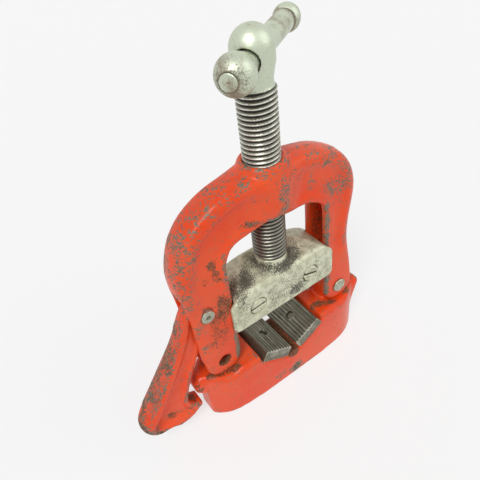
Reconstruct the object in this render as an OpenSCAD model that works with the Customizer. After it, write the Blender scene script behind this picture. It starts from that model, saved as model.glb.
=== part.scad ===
// Bench yoke pipe vise: hinged yoke, drop latch, screw-driven jaw holder, V jaws.
// Millimetres. +Z is up, -Y is the front, the hinge is on the +X side, Z = 0 is the bench.

/* [Yoke] */
// Distance of the hinge pin from the screw axis
hinge_x = 53; // [46:0.5:60]
// Height of the hinge pin above the bench
hinge_z = 58; // [52:0.5:66]
// Thickness of the yoke, front to back
yoke_t = 23; // [20:0.5:28]
// Half width of the window between the legs
window_half = 39.2; // [34:0.1:44]
// Height of the top of the window
window_top_z = 152; // [144:1:160]
// Height of the crown of the arch
crown_z = 186.5; // [178:0.5:198]
// Radius of the rounded leg ends
foot_r = 13.8; // [12:0.1:16]
// Diameter of the boss that stands on the crown round the screw
boss_d = 31; // [28:0.5:36]
// Swelling of the crown to the front and to the back
boss_swell = 5.2; // [3:0.1:7]
// Width of the slots between the cheeks of the legs
slot_w = 12.4; // [10:0.1:14]
// Rounding of the outer rim
rim_r = 6; // [3:0.5:7]
// Depth of the dished web
dish = 2.2; // [0.5:0.1:3]

/* [Base] */
// Half depth of the base at its middle
base_half_y = 19.4; // [16:0.1:22]
// Half length of the base at the bench
base_half_x = 70.2; // [62:0.1:76]
// Reach of the lip under which the latch hooks
lip_x = 77.5; // [74:0.5:82]
// Reach of the lip on the hinged side
stop_x = 80.5; // [74:0.5:84]
// Height of the shoulders beside the jaws
shoulder_z = 46.5; // [43:0.5:49]
// Width of the tongue between the cheeks of the hinged leg
tongue_w = 11.6; // [9:0.1:13]
// Distance between the two tapped holes of the underside
bolt_spacing = 76; // [60:1:90]
// Tapping diameter of the underside holes
bolt_tap_d = 7.94; // [6:0.01:11]
// Depth of the underside holes
bolt_depth = 22; // [15:1:28]

/* [Pins] */
// Diameter of the hinge pin and of the latch pin
pin_d = 9.5; // [8:0.1:12]
// Diameter of the riveted hinge pin head
pin_head_d = 11.6; // [10:0.1:14]
// Radial play of a turning fit
play = 0.05; // [0.02:0.01:0.1]

/* [Latch] */
// Distance of the latch pin from the screw axis
latch_x = 58; // [54:0.5:62]
// Height of the latch pin
latch_z = 107; // [100:0.5:112]
// Thickness of the latch hub
latch_hub_t = 11.6; // [9:0.1:12]
// Thickness of the latch web
latch_web_t = 9.6; // [6:0.2:11]
// Width of the rim round the latch web
latch_rim = 3; // [2:0.1:4]
// Thickness of the outer flange of the latch
latch_flange_t = 5.5; // [4:0.5:7]

/* [Screw] */
// Outside diameter of the screw thread
screw_d = 22.2; // [20:0.1:24]
// Height of the lower end of the thread at rest
screw_foot_z = 119.8; // [116:0.1:124]
// Height of the upper end of the thread at rest
thread_top_z = 231; // [215:0.5:235]
// Diameter of the swivel spigot
spigot_d = 15; // [13:0.1:17]
// Diameter of the rounded head
head_d = 22.6; // [21:0.1:26]
// Height of the handle bar through the head
bar_z = 245.6; // [242:0.1:252]

/* [Handle] */
// Diameter of the handle bar
bar_d = 12.7; // [10:0.1:14]
// Diameter of the riveted ends of the bar
rivet_d = 9; // [7:0.1:10]
// Turn of the bar about the screw axis at rest
bar_yaw = 34; // [0:1:90]
// Diameter of the near ball
ball_d = 20.2; // [18:0.1:26]
// Diameter of the far knob
knob_d = 16.2; // [15:0.1:24]
// Distance of the near ball from the screw axis
ball_at = 22.8; // [22:0.1:30]
// Distance of the far knob from the screw axis
knob_at = 58; // [55:1:110]

/* [Jaws] */
// Slope of the jaw faces
jaw_tilt = 29; // [25:1:40]
// Width of a jaw face
jaw_face = 24.8; // [20:0.1:28]
// Thickness of a lower jaw
jaw_t = 9.7; // [8:0.1:12]
// Length of a lower jaw
jaw_len = 39.8; // [34:0.1:44]
// Half of the gap between the two jaws
jaw_gap = 1.8; // [1:0.1:4]
// Height of the inner edge of the lower jaw faces
jaw_z = 37.3; // [34:0.1:42]
// Number of ridges on a jaw face
jaw_ridges = 9; // [6:1:14]
// Depth of the ridges
ridge_depth = 1.1; // [0.5:0.1:1.6]

/* [Holder] */
// Height of the lower edge of the holder at rest
holder_z = 80; // [76:0.5:86]
// Height of the front ridge of the holder
ridge_z = 110; // [106:0.5:112]
// Half width over the guide plates
plate_half = 43; // [41:0.5:46]
// Half depth over the guide plates
holder_half_y = 14.6; // [13.5:0.1:17]
// Side clearance between the holder and the legs
guide_gap = 0.5; // [0.3:0.1:1]
// Length of an upper jaw
upper_len = 22; // [18:0.5:24]
// Thickness of an upper jaw
upper_t = 19; // [16:0.5:20]
// How far the upper jaws stand out below the holder
jaw_drop = 7; // [0:0.5:8]
// Shank diameter of the cross screws
cross_d = 9; // [7:0.1:10]
// Head diameter of the cross screws
cross_head_d = 13.4; // [11:0.1:15]

/* [View] */
// Which node is drawn

/* [Hidden] */
$fn = 64;
paint = [0.80, 0.16, 0.09];
steel = [0.62, 0.64, 0.62];
iron = [0.60, 0.61, 0.55];
hard = [0.25, 0.25, 0.24];
half_t = yoke_t / 2;
cheek_face = half_t + 0.3;
seat_r = foot_r + 0.8;
turn_r = pin_d / 2 + play;
fixed_play = 0.02;
lip_half_y = 8;
lip_z = 40;
stop_z = 43;
stop_start = 62;

// Smooth curve through points p, n steps to each span.
function spline_at(a, b, c, d, t) =
    0.5 * (2 * b + (c - a) * t + (2 * a - 5 * b + 4 * c - d) * t * t + (3 * b - a - 3 * c + d) * t * t * t);
function spline(p, n) = concat(
    [for (i = [0 : len(p) - 2], k = [0 : n - 1])
        spline_at(p[max(i - 1, 0)], p[i], p[i + 1], p[min(i + 2, len(p) - 1)], k / n)],
    [p[len(p) - 1]]);
function flip_x(p) = [for (q = p) [-q[0], q[1]]];
function turned_back(p) = [for (i = [len(p) - 1 : -1 : 0]) p[i]];
function ramp(v, lo, hi) = max(0, min(1, (v - lo) / (hi - lo)));
function unit(v) = v / norm(v);

// Solid through a row of rings with the same number of points.
module skin(rings) {
    n = len(rings);
    m = len(rings[0]);
    sides = [for (i = [0 : n - 2], j = [0 : m - 1]) each [
        [i * m + j, (i + 1) * m + (j + 1) % m, i * m + (j + 1) % m],
        [i * m + j, (i + 1) * m + j, (i + 1) * m + (j + 1) % m]]];
    first_cap = [for (j = [1 : m - 2]) [0, j, j + 1]];
    last_cap = [for (j = [1 : m - 2]) [(n - 1) * m, (n - 1) * m + j + 1, (n - 1) * m + j]];
    polyhedron(points = [for (r = rings) each r], faces = concat(sides, first_cap, last_cap), convexity = 8);
}

// Cylinder along Y, centred on Y = 0.
module y_cyl(x, z, d, len) {
    translate([x, 0, z]) rotate([90, 0, 0]) cylinder(d = d, h = len, center = true);
}

// Outline in X and Z made into a plate of thickness t, centred on Y = 0.
module xz_plate(t) {
    rotate([90, 0, 0]) linear_extrude(t, center = true) children();
}

// Yoke

// Outer edge of the hinged side from crown to foot, and the inner edge that faces it.
outer_right = [[0, crown_z], [13, crown_z - 0.2], [25, crown_z - 1.3], [39.8, crown_z - 5],
               [53.8, crown_z - 12.8], [62.3, crown_z - 23.9], [66.3, crown_z - 36.2],
               [66.5, crown_z - 47], [64.7, crown_z - 59],
               [63, 115], [62.7, 104], [63.8, 92], [65.4, 78], [66.4, 67], [hinge_x + foot_r, hinge_z]];
inner_leg = [for (z = [127, 115, 104, 92, 78, 67, hinge_z]) [window_half, z]];
inner_right = concat([[0, window_top_z + 2], [9, window_top_z], [17, window_top_z - 0.4],
                      [24, window_top_z - 1.4], [30, window_top_z - 4],
                      [35.2, window_top_z - 7.6], [38.3, window_top_z - 12],
                      [window_half, window_top_z - 18]], inner_leg);
// The latch side has a squarer window corner and a straight, wider leg.
inner_left = concat([[0, window_top_z + 2], [-9, window_top_z + 1.9], [-17, window_top_z + 0.8],
                     [-23.6, window_top_z - 0.2], [-29.4, window_top_z - 1.2],
                     [-34.4, window_top_z - 4], [-37.6, window_top_z - 9.4],
                     [-window_half, window_top_z - 15.6]], flip_x(inner_leg));
outer_left = concat([for (i = [0 : 4]) [-outer_right[i][0], outer_right[i][1]]],
                    [[-63.4, crown_z - 23.5], [-68.9, crown_z - 36.2], [-71.2, crown_z - 47],
                     [-71.1, crown_z - 59], [-69.8, 115], [-69.3, 104], [-69.2, 92], [-68.6, 78], [-67.8, 67],
                     [-hinge_x - foot_r, hinge_z]]);
spans = 3;
rail_out = concat(turned_back(spline(outer_left, spans)),
                  [for (i = [1 : spans * 14]) spline(outer_right, spans)[i]]);
rail_in = concat(turned_back(spline(inner_left, spans)),
                 [for (i = [1 : spans * 14]) spline(inner_right, spans)[i]]);

// How much of the swelling round the screw is left at distance x from its axis.
swell_half = 27;
function swell(x) = 0.5 + 0.5 * cos(180 * min(1, abs(x) / swell_half));

// Section of the arch between outer point a and inner point b: round rim, dished web, narrow lip.
function arch_ring(a, b) =
    let (len = norm(b - a), u = unit(b - a), fade = ramp(min(a[1], b[1]), 84, 104),
         ro = 2 + (rim_r - 2) * ramp(a[1], hinge_z, hinge_z + 40), lip = 1.2,
         s = swell(a[0]), h = half_t + boss_swell * s, d = dish * fade * (1 - s), over = (1 - s) * ro + s * 9,
         front = [[0, over - h], [0.134 * ro, 0.5 * over - h], [0.5 * ro, 0.134 * over - h],
                  [ro, -h], [ro + 2, -h], [ro + 5.5, d - h], [len - 7, d - h],
                  [len - 4, 2 * s - h], [len - lip, 4 * s - h], [len, 5 * s + lip - h]],
         back = [for (i = [len(front) - 1 : -1 : 0]) [front[i][0], -front[i][1]]])
    [for (q = concat([[-0.7 * fade, 0]], front, back)) [a[0] + u[0] * q[0], q[1], a[1] + u[1] * q[0]]];

module foot(x) {
    edge = 2;
    translate([x, 0, hinge_z]) rotate([90, 0, 0]) rotate_extrude()
        polygon([[0, -half_t], [foot_r - edge, -half_t], [foot_r - 0.6, 0.6 - half_t], [foot_r, edge - half_t],
                 [foot_r, half_t - edge], [foot_r - 0.6, half_t - 0.6], [foot_r - edge, half_t], [0, half_t]]);
}

module screw_boss() {
    r = boss_d / 2;
    rotate_extrude()
        polygon([[0, crown_z - 14], [r + 0.6, crown_z - 14], [r + 0.8, crown_z - 8], [r + 0.6, crown_z - 3.5],
                 [r - 0.2, crown_z + 0.5], [r - 1.2, crown_z + 2.8], [r - 2.8, crown_z + 4.3],
                 [0, crown_z + 4.3]]);
}

module yoke() {
    fork_top = hinge_z + 18;
    channel_wall = 56.5;
    latch_floor = 46;
    color(paint) difference() {
        union() {
            skin([for (i = [0 : len(rail_out) - 1]) arch_ring(rail_out[i], rail_in[i])]);
            foot(hinge_x);
            foot(-hinge_x);
            screw_boss();
        }
        translate([0, 0, window_top_z - 20]) cylinder(d = screw_d + 2 * play, h = crown_z);
        y_cyl(hinge_x, hinge_z, pin_d + 2 * fixed_play, 60);
        y_cyl(-hinge_x, hinge_z, pin_d, 60);
        y_cyl(-latch_x, latch_z, pin_d + 2 * fixed_play, 60);
        // Fork of both legs, channel of the hinged leg, slot of the latch.
        xz_plate(slot_w) polygon([[30, 30], [80, 30], [80, fork_top - 6], [70, fork_top],
                                  [channel_wall, fork_top], [channel_wall - 1, latch_z],
                                  [channel_wall + 1, 130], [channel_wall - 2, 139],
                                  [channel_wall - 8, 143], [30, 143]]);
        xz_plate(slot_w) polygon([[-30, 30], [-80, 30], [-80, 127], [-64, 124.5], [-54, 122],
                                  [-latch_floor, 115], [-latch_floor, fork_top], [-30, fork_top]]);
    }
}

module hinge_pin() {
    head_h = 1.6;
    color(steel) translate([hinge_x, 0, hinge_z]) rotate([90, 0, 0]) rotate_extrude()
        polygon([[0, -half_t - head_h], [pin_head_d / 2 - 1, -half_t - head_h], [pin_head_d / 2, -half_t - 0.7],
                 [pin_head_d / 2, -half_t - fixed_play], [pin_d / 2, -half_t - fixed_play],
                 [pin_d / 2, half_t + fixed_play], [pin_head_d / 2, half_t + fixed_play],
                 [pin_head_d / 2, half_t + 0.7], [pin_head_d / 2 - 1, half_t + head_h], [0, half_t + head_h]]);
}

module latch_pin() {
    dimple = 1.2;
    color(steel) translate([-latch_x, 0, latch_z]) rotate([90, 0, 0]) rotate_extrude()
        polygon([[0, -half_t], [pin_d / 2, -half_t], [pin_d / 2, half_t], [dimple + 0.6, half_t + 0.3],
                 [dimple, half_t - 0.4], [0, half_t - 0.9]]);
}

// Base

trough_in = jaw_gap + jaw_t * sin(jaw_tilt);
trough_out = trough_in + jaw_face * cos(jaw_tilt);
trough_z = jaw_z - jaw_t * cos(jaw_tilt);
trough_end_z = trough_z + jaw_face * sin(jaw_tilt);
seat_edge = sqrt(seat_r * seat_r - pow(hinge_z - shoulder_z, 2));
lip_root = 71.6;

function base_top(x) =
    x <= trough_in ? trough_z - 1.5 :
    x <= trough_out + 0.1 ? trough_z + (x - trough_in) * tan(jaw_tilt) - 0.05 :
    abs(x - hinge_x) < seat_edge ? hinge_z - sqrt(seat_r * seat_r - pow(x - hinge_x, 2)) :
    x <= lip_root ? shoulder_z :
    shoulder_z - (shoulder_z - lip_z) * pow((x - lip_root) / (lip_x - lip_root), 2);
// The hinged side's lip runs down into the end, the other one is undercut for the hook.
function base_under(x) =
    abs(x) <= base_half_x ? 0 :
    x < 0 ? 28 + (-x - base_half_x) * 0.9 :
    stop_z - 5 - 19 * pow(1 - ramp(x, base_half_x, lip_x), 1.6);
function base_depth(x) = lookup(x, [[0, base_half_y], [30, base_half_y - 0.2], [43, base_half_y - 0.9],
    [52, base_half_y - 2], [58, base_half_y - 3.5], [62.5, base_half_y - 5.6], [65.5, base_half_y - 7.7],
    [67.6, base_half_y - 9.5], [base_half_x - 0.8, base_half_y - 11.4], [base_half_x, lip_half_y - 1.2],
    [base_half_x + 0.2, lip_half_y], [lip_x - 2, lip_half_y - 0.4], [lip_x, lip_half_y - 1.6]]);
base_xs = concat([0, trough_in - 0.05, trough_in, trough_out + 0.1, trough_out + 0.6, 36, 40],
                 [for (k = [0 : 10]) hinge_x - (1 - k / 5) * seat_edge],
                 [65.5, 67.6, base_half_x - 0.8, base_half_x, base_half_x + 0.2, lip_root],
                 [73, 74.6, 76, 77, lip_x]);
base_stations = concat([for (i = [len(base_xs) - 1 : -1 : 1]) -base_xs[i]], base_xs);

function base_ring(x) =
    let (ax = abs(x), at = x + (stop_x - lip_x) * ramp(x, stop_start, lip_x), y = base_depth(ax),
         zt = base_top(ax) + (stop_z - lip_z) * ramp(x, lip_root, lip_x), zb = base_under(x),
         r = ax <= trough_out + 0.1 ? 0.8 : ax <= base_half_x ? 3.5 : (zt - zb) / 3, b = 1,
         right = [[y - b, zb], [y, zb + b], [y, zt - r], [y - 0.134 * r, zt - 0.5 * r],
                  [y - 0.5 * r, zt - 0.134 * r], [y - r, zt]],
         left = [for (i = [len(right) - 1 : -1 : 0]) [-right[i][0], right[i][1]]])
    [for (q = concat(right, left)) [at, q[0], q[1]]];

module hinge_tongue() {
    tip_d = 25;
    difference() {
        union() {
            y_cyl(hinge_x, hinge_z, tip_d, tongue_w);
            xz_plate(tongue_w) polygon([[hinge_x - 11, 38], [hinge_x + 11, 38],
                                        [hinge_x + tip_d / 2 - 0.4, hinge_z - 3],
                                        [hinge_x, hinge_z + 3], [hinge_x - tip_d / 2 + 0.4, hinge_z - 3]]);
        }
        y_cyl(hinge_x, hinge_z, 2 * turn_r, 60);
    }
}

module base() {
    color(paint) difference() {
        union() {
            skin([for (x = base_stations) base_ring(x)]);
            hinge_tongue();
        }
        for (s = [-1, 1]) {
            translate([s * bolt_spacing / 2, 0, -1]) cylinder(d = bolt_tap_d, h = bolt_depth + 1);
            lower_screw_axis(s) translate([0, 0, -30]) cylinder(d = jaw_screw_d + 2 * fixed_play, h = 40);
        }
    }
}

// Lower jaws

jaw_screw_d = 4;
jaw_screw_head = 6.2;
jaw_screw_sink = 5.6;

// Toothed block seen from its end: ridged face up along +X, body below, t thick.
module jaw_outline(t) {
    step = jaw_face / jaw_ridges;
    polygon(concat([[0, -t], [0, -ridge_depth]],
                   [for (k = [0 : jaw_ridges - 1]) each [[(k + 0.5) * step, 0], [(k + 1) * step, -ridge_depth]]],
                   [[jaw_face, -t]]));
}

module lower_frame(s) {
    mirror([s < 0 ? 1 : 0, 0, 0]) translate([jaw_gap, 0, jaw_z]) rotate([0, -jaw_tilt, 0]) children();
}

module lower_screw_axis(s) {
    lower_frame(s) translate([jaw_face / 2, 0, -jaw_t]) children();
}

module lower_jaw(s) {
    color(hard) difference() {
        lower_frame(s) xz_plate(jaw_len) jaw_outline(jaw_t);
        lower_screw_axis(s) translate([0, 0, -1]) cylinder(d = jaw_screw_d + 0.4, h = jaw_t + 2);
        lower_screw_axis(s) translate([0, 0, jaw_t - jaw_screw_sink]) cylinder(d = jaw_screw_head + 0.3, h = 10);
    }
}

module lower_jaw_left() { lower_jaw(-1); }
module lower_jaw_right() { lower_jaw(1); }

module lower_jaw_screw(s) {
    seat = jaw_t - jaw_screw_sink;
    color(hard) lower_screw_axis(s) rotate_extrude()
        polygon([[0, -11], [jaw_screw_d / 2, -11], [jaw_screw_d / 2, seat + fixed_play],
                 [jaw_screw_head / 2, seat + fixed_play], [jaw_screw_head / 2, seat + 2.8],
                 [jaw_screw_head / 2 - 0.4, seat + 3.2], [0, seat + 3.2]]);
}

module lower_jaw_screw_left() { lower_jaw_screw(-1); }
module lower_jaw_screw_right() { lower_jaw_screw(1); }

// Latch

latch_outer = [[-64.5, 115.6], [-70, 108.5], [-76, 97.5], [-82.8, 85], [-95.6, 65.5], [-108.6, 46.8], [-116, 36.6],
               [-119, 29.6], [-117.6, 22.8], [-111.8, 18.2], [-102, 15.6], [-92, 13.6], [-83.6, 13.8], [-77, 16.4]];
latch_hook = [[-75.4, 18.6], [-75.2, 21.4], [-80.6, 24], [-83.8, 28.4], [-84.8, 34], [-83, 39.8]];
latch_inner = [[-81.3, 45.2], [-78.6, 51.5], [-73.9, 62], [-69.2, 71.7], [-65, 80.5], [-61, 90]];
latch_curve = spline(latch_outer, 2);
hub_d = 19.6;
flange_half = [4.6, 5.2, 5.8, 7, 8.6, 9.6, 10, 10, 10, 9.8, 9.2, 8.4, 7.4, 5.8];

module latch_outline() {
    polygon(concat(latch_curve, latch_hook, spline(latch_inner, 2)));
    translate([-latch_x, latch_z]) circle(d = hub_d);
}

function flange_ring(i) =
    let (p = latch_curve[i], q = latch_curve[min(i + 1, len(latch_curve) - 1)], o = latch_curve[max(i - 1, 0)],
         along = unit(q - o), n = [along[1], -along[0]], w = lookup(i / 2, [for (k = [0 : 13]) [k, flange_half[k]]]),
         e = 1.6, t = latch_flange_t, web = min(w - 1, latch_web_t / 2 - 0.5),
         half = [[0.3, 0.45 * w], [-0.2, w - e], [-0.5 * e, w - 0.3 * e], [-e, w], [1 - t, w],
                 [-t, w - 1], [-t - 2.2, web + 0.35 * (w - 1 - web)], [-t - 4.6, web]],
         other = [for (k = [7 : -1 : 0]) [half[k][0], -half[k][1]]])
    [for (h = concat(half, other)) [p[0] + n[0] * h[0], h[1], p[1] + n[1] * h[0]]];

module latch() {
    color(paint) difference() {
        union() {
            xz_plate(latch_web_t) latch_outline();
            xz_plate(latch_hub_t) difference() {
                latch_outline();
                offset(r = -latch_rim) latch_outline();
            }
            y_cyl(-latch_x, latch_z, hub_d - 0.2, latch_hub_t);
            skin([for (i = [0 : len(latch_curve) - 1]) flange_ring(i)]);
        }
        y_cyl(-latch_x, latch_z, 2 * turn_r, 60);
    }
}

// Screw and handle

swivel_z = 112.5;
swivel_d = 4;
groove_r = 5.4;
spigot_end = 106.4;

module screw() {
    r = screw_d / 2;
    h = head_d / 2;
    dome_z = 249.6;
    neck = r - 1.5;
    color(steel) difference() {
        rotate_extrude()
            polygon(concat([[0, spigot_end], [spigot_d / 2 - 0.8, spigot_end], [spigot_d / 2, spigot_end + 0.8],
                            [spigot_d / 2, swivel_z - 2.4], [groove_r, swivel_z - 2.4], [groove_r, swivel_z + 2.4],
                            [spigot_d / 2, swivel_z + 2.4], [spigot_d / 2, screw_foot_z], [r - 1.2, screw_foot_z],
                            [r, screw_foot_z + 1.2], [r, thread_top_z - 1], [neck, thread_top_z + 1],
                            [neck, thread_top_z + 4], [h - 0.6, thread_top_z + 9.5], [h, thread_top_z + 12]],
                           [for (a = [0 : 10 : 90]) [h * cos(a), dome_z + h * sin(a)]]));
        bar_frame() rotate([0, 90, 0]) cylinder(d = bar_d + 4 * play, h = 60, center = true);
    }
}

module bar_frame() {
    translate([0, 0, bar_z]) rotate([0, 0, bar_yaw]) children();
}

function flat_at(d) = sqrt(d * d / 4 - pow(bar_d / 2 + 0.4, 2));
function end_at(d) = sqrt(d * d / 4 - rivet_d * rivet_d / 4) + 0.3;

module handle_bar() {
    near_flat = flat_at(ball_d) - ball_at + fixed_play;
    far_flat = knob_at - flat_at(knob_d) - fixed_play;
    near_end = -ball_at - end_at(ball_d);
    far_end = knob_at + end_at(knob_d);
    color(steel) bar_frame() rotate([0, 90, 0]) rotate_extrude()
        polygon([[0, near_end + 0.8], [1, near_end], [rivet_d / 2, near_end], [rivet_d / 2, near_flat],
                 [bar_d / 2, near_flat], [bar_d / 2, far_flat], [rivet_d / 2, far_flat],
                 [rivet_d / 2, far_end], [1, far_end], [0, far_end - 0.8]]);
}

// Ball on the bar's end, flat towards the bar; s = -1 is the near end.
module bar_ball(d, at, s) {
    a0 = asin(2 * (rivet_d / 2 + fixed_play) / d);
    a1 = asin((bar_d + 0.8) / d);
    steps = 16;
    bar_frame() translate([s * at, 0, 0]) rotate([0, s * 90, 0]) rotate_extrude()
        polygon(concat([for (k = [0 : steps]) let (a = a0 + (180 - a1 - a0) * k / steps)
                           [d / 2 * sin(a), d / 2 * cos(a)]],
                       [[rivet_d / 2 + fixed_play, -d / 2 * cos(a1)]]));
}

module handle_ball() { color(steel) bar_ball(ball_d, ball_at, -1); }
module handle_knob() { color(steel) bar_ball(knob_d, knob_at, 1); }

// Jaw holder

upper_z = holder_z - jaw_drop;
upper_apex = upper_z + jaw_face * sin(jaw_tilt);
cross_x = 22.5;
cross_z = 93.5;
cross_head_t = 2.3;
boss_top_z = screw_foot_z - 0.3;

module upper_frame(s) {
    mirror([s < 0 ? 1 : 0, 0, 0]) translate([jaw_gap, 0, upper_apex]) rotate([0, jaw_tilt, 0])
        mirror([0, 0, 1]) children();
}

// Half of the holder seen from the front, from the lower edge over the plate's end to the middle.
holder_front = [[plate_half - 4, holder_z], [plate_half - 1.2, holder_z + 1.2], [plate_half, holder_z + 4],
                [plate_half, ridge_z - 7.5], [plate_half - 0.8, ridge_z - 5.6], [plate_half - 2.8, ridge_z - 3.4],
                [37, ridge_z - 0.9], [33, ridge_z + 1.4], [25, ridge_z + 5], [16, ridge_z + 8], [6, boss_top_z]];

module holder_body() {
    back = holder_half_y;
    intersection() {
        xz_plate(2 * holder_half_y) polygon(concat(holder_front, turned_back(flip_x(holder_front))));
        // Seen from the end: round front ridge, top rising to the back.
        rotate([90, 0, 90]) linear_extrude(2 * plate_half + 2, center = true)
            polygon([[-back, holder_z - 1], [back, holder_z - 1], [back, ridge_z + 1.5], [back - 0.8, ridge_z + 5],
                     [back - 2.2, ridge_z + 7.4], [back - 4.2, ridge_z + 8.2], [back - 6.6, ridge_z + 7],
                     [0, ridge_z + 4], [4.4 - back, ridge_z + 1], [2.4 - back, ridge_z + 0.2],
                     [1.1 - back, ridge_z - 1], [0.3 - back, ridge_z - 2.8], [-back, ridge_z - 5]]);
    }
    rotate_extrude()
        polygon([[0, ridge_z - 4], [13, ridge_z - 4], [13, ridge_z - 0.4], [12.2, ridge_z + 1.4],
                 [11.4, ridge_z + 4], [10.9, ridge_z + 7], [10.7, boss_top_z], [0, boss_top_z]]);
}

module jaw_holder() {
    body_half = window_half - guide_gap;
    pocket = upper_len + 0.6;
    color(iron) difference() {
        holder_body();
        for (s = [-1, 1]) {
            translate([s * (body_half + 10), 0, ridge_z]) cube([20, 2 * cheek_face, 80], center = true);
            upper_frame(s) xz_plate(pocket) polygon([[-0.3, 20], [-0.3, -upper_t], [jaw_face + 0.3, -upper_t],
                                                    [jaw_face + 0.3, 20]]);
            y_cyl(s * cross_x, cross_z, cross_d + 2 * fixed_play, 60);
            translate([s * cross_x, cross_head_t + 0.1 - holder_half_y, cross_z]) rotate([90, 0, 0])
                cylinder(d = cross_head_d + 2 * fixed_play, h = 10);
            translate([s * swivel_x, holder_half_y + 5, swivel_z]) rotate([90, 0, 0])
                cylinder(d = swivel_d + 2 * fixed_play, h = holder_half_y + 5 - swivel_y + 0.5);
        }
        translate([0, 0, spigot_end - 0.8]) cylinder(d = spigot_d + 2 * play, h = 40);
    }
}

module upper_jaw(s) {
    color(hard) difference() {
        upper_frame(s) xz_plate(upper_len) jaw_outline(upper_t - 0.05);
        y_cyl(s * cross_x, cross_z, cross_d + 0.2, 60);
    }
}

module upper_jaw_left() { upper_jaw(-1); }
module upper_jaw_right() { upper_jaw(1); }

module cross_screw(s) {
    color(steel) translate([s * cross_x, 0, cross_z]) rotate([90, 0, 0]) rotate_extrude()
        polygon([[0, -holder_half_y + 0.2], [cross_d / 2, -holder_half_y + 0.2],
                 [cross_d / 2, holder_half_y - cross_head_t], [cross_head_d / 2, holder_half_y - cross_head_t],
                 [cross_head_d / 2, holder_half_y - 0.4], [cross_head_d / 2 - 0.4, holder_half_y],
                 [0, holder_half_y]]);
}

module cross_screw_left() { cross_screw(-1); }
module cross_screw_right() { cross_screw(1); }

swivel_x = groove_r + swivel_d / 2 + 0.2;
swivel_y = -4.5;
swivel_len = 17;

module swivel_pin(s) {
    color(steel) translate([s * swivel_x, swivel_y + swivel_len, swivel_z]) rotate([90, 0, 0])
        cylinder(d = swivel_d, h = swivel_len);
}

module swivel_pin_left() { swivel_pin(-1); }
module swivel_pin_right() { swivel_pin(1); }

base();
yoke();
hinge_pin();
latch();
latch_pin();
screw();
handle_bar();
handle_ball();
handle_knob();
jaw_holder();
upper_jaw_left();
upper_jaw_right();
cross_screw_left();
cross_screw_right();
swivel_pin_left();
swivel_pin_right();
lower_jaw_left();
lower_jaw_right();
lower_jaw_screw_left();
lower_jaw_screw_right();
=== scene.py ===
"""Looks of a bench yoke pipe vise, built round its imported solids."""

import math

import bmesh
import bpy
import numpy as np
from bpy.props import FloatProperty, FloatVectorProperty, IntProperty, PointerProperty
from bpy.types import Operator, Panel, PropertyGroup
from mathutils import Matrix, Vector


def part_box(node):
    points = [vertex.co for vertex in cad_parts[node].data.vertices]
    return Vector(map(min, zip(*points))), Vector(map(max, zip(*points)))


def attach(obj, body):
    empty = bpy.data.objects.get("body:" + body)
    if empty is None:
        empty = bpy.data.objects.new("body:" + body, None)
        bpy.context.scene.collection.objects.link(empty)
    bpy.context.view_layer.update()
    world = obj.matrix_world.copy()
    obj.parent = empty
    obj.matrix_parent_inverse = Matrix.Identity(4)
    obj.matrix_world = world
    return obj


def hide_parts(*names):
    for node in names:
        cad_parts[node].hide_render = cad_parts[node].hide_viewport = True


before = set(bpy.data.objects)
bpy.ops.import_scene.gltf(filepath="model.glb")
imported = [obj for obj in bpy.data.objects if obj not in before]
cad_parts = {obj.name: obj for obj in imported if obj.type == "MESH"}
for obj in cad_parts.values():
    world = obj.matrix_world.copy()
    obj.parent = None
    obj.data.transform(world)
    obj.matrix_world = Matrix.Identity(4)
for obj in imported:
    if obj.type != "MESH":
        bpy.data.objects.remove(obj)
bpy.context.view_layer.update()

bl_info = {
    "name": "Yoke pipe vise",
    "version": (1, 0, 0),
    "blender": (4, 5, 0),
    "location": "View3D > Sidebar > Vise",
    "description": "Dresses the solids of a bench yoke pipe vise",
    "category": "Object",
}

MM = 0.001
GREASE_STARTS, GREASE_FULL = 166 * MM, 150 * MM  # heights on the screw


# Settings


def colour_setting(name, description, default):
    return FloatVectorProperty(name=name, description=description, subtype="COLOR", size=4, default=(*default, 1))


def length_setting(name, description, millimetres):
    return FloatProperty(name=name, description=description, unit="LENGTH", default=millimetres * MM)


class VisePaintSettings(PropertyGroup):
    """Enamel on the castings and what shows where it has gone."""

    enamel: colour_setting("Enamel", "Colour of sound enamel", (0.76, 0.056, 0.006))
    faded: colour_setting("Faded enamel", "Colour of chalky enamel", (0.78, 0.086, 0.020))
    iron: colour_setting("Bare iron", "Colour of iron where the enamel is gone", (0.20, 0.178, 0.132))
    # Old rust and grime colour real dirt and also the painted shade in the enamel's hollows, holes, slots and seams.
    rust: colour_setting("Old rust", "Colour of rust and baked oil", (0.060, 0.032, 0.016))
    grime_and_shade: colour_setting("Grime", "Colour of dirt rubbed into the enamel", (0.13, 0.095, 0.045))
    wear: FloatProperty(
        name="Wear", description="How much enamel has gone", subtype="FACTOR", min=0, max=1, default=0.5
    )


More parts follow.
